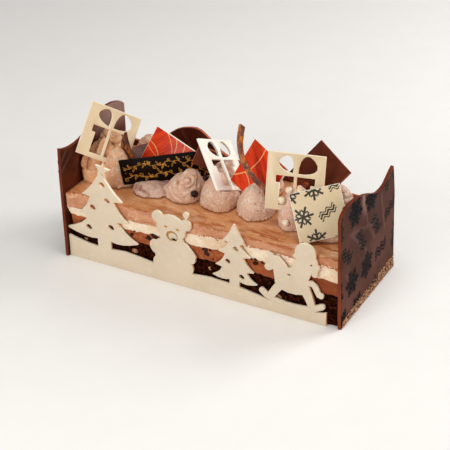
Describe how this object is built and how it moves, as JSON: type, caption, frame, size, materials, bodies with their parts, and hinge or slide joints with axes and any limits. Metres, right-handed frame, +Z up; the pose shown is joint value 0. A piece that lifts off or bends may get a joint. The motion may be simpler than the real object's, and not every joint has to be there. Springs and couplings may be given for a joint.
{
  "type": "yule log cake",
  "caption": "Layered slab-sided yule log cake between wavy chocolate plates, with a cut-out white chocolate front panel and thin chocolate squares, curls and pearls set in piped mousse.",
  "frame": {"origin": "middle of the footprint, on the surface that the cake stands on", "axes": "+X along the log to its right end, +Y from the cut-out front panel to the back, +Z up"},
  "size_m": [0.225, 0.097, 0.1214],
  "materials": {
    "plate_chocolate": "semi-gloss moulded milk and dark chocolate",
    "brownie": "open, rough dark crumb",
    "milk_mousse": "fine matt mousse",
    "white_cream": "smooth matt cream",
    "praline_mousse": "smoothed mousse with a faint sheen",
    "piped_mousse": "piped mousse with fine specks",
    "white_chocolate": "satin white chocolate",
    "red_chocolate": "glossy coloured chocolate with pale veins",
    "milk_chocolate": "glossy milk chocolate",
    "dark_chocolate": "glossy dark chocolate",
    "white_pearl": "glossy sugar-coated crisp pearl",
    "copper_pearl": "lustred crisp pearl"
  },
  "bodies": {
    "root": {"end_plate_right": "plate_chocolate", "end_plate_left": "plate_chocolate", "back_plate": "plate_chocolate", "brownie_layer": "brownie", "milk_mousse_layer": "milk_mousse", "white_cream_layer": "white_cream", "praline_mousse_layer": "praline_mousse", "front_panel": "white_chocolate", "gift_square_left": "white_chocolate", "gift_square_middle": "white_chocolate", "gift_square_right": "white_chocolate", "printed_square": "white_chocolate", "red_square_left": "red_chocolate", "red_square_right": "red_chocolate", "milk_square": "milk_chocolate", "message_plaque": "dark_chocolate", "shard_left": "dark_chocolate", "shard_middle": "milk_chocolate", "tall_curl": "milk_chocolate", "small_curl": "milk_chocolate", "pearl_white_1": "white_pearl", "pearl_white_2": "white_pearl", "pearl_white_3": "white_pearl", "pearl_white_4": "white_pearl", "pearl_copper": "copper_pearl", "pearl_dark_1": "dark_chocolate", "pearl_dark_2": "dark_chocolate", "dollop_front_1": "piped_mousse", "dollop_front_2": "piped_mousse", "dollop_front_3": "piped_mousse", "dollop_front_4": "piped_mousse", "dollop_front_5": "piped_mousse", "dollop_front_6": "piped_mousse", "dollop_front_7": "piped_mousse", "dollop_front_8": "piped_mousse", "dollop_back_1": "piped_mousse", "dollop_back_2": "piped_mousse", "dollop_back_3": "piped_mousse", "dollop_back_4": "piped_mousse", "dollop_back_5": "piped_mousse", "dollop_back_6": "piped_mousse", "dollop_back_7": "piped_mousse"}
  },
  "joints": []
}
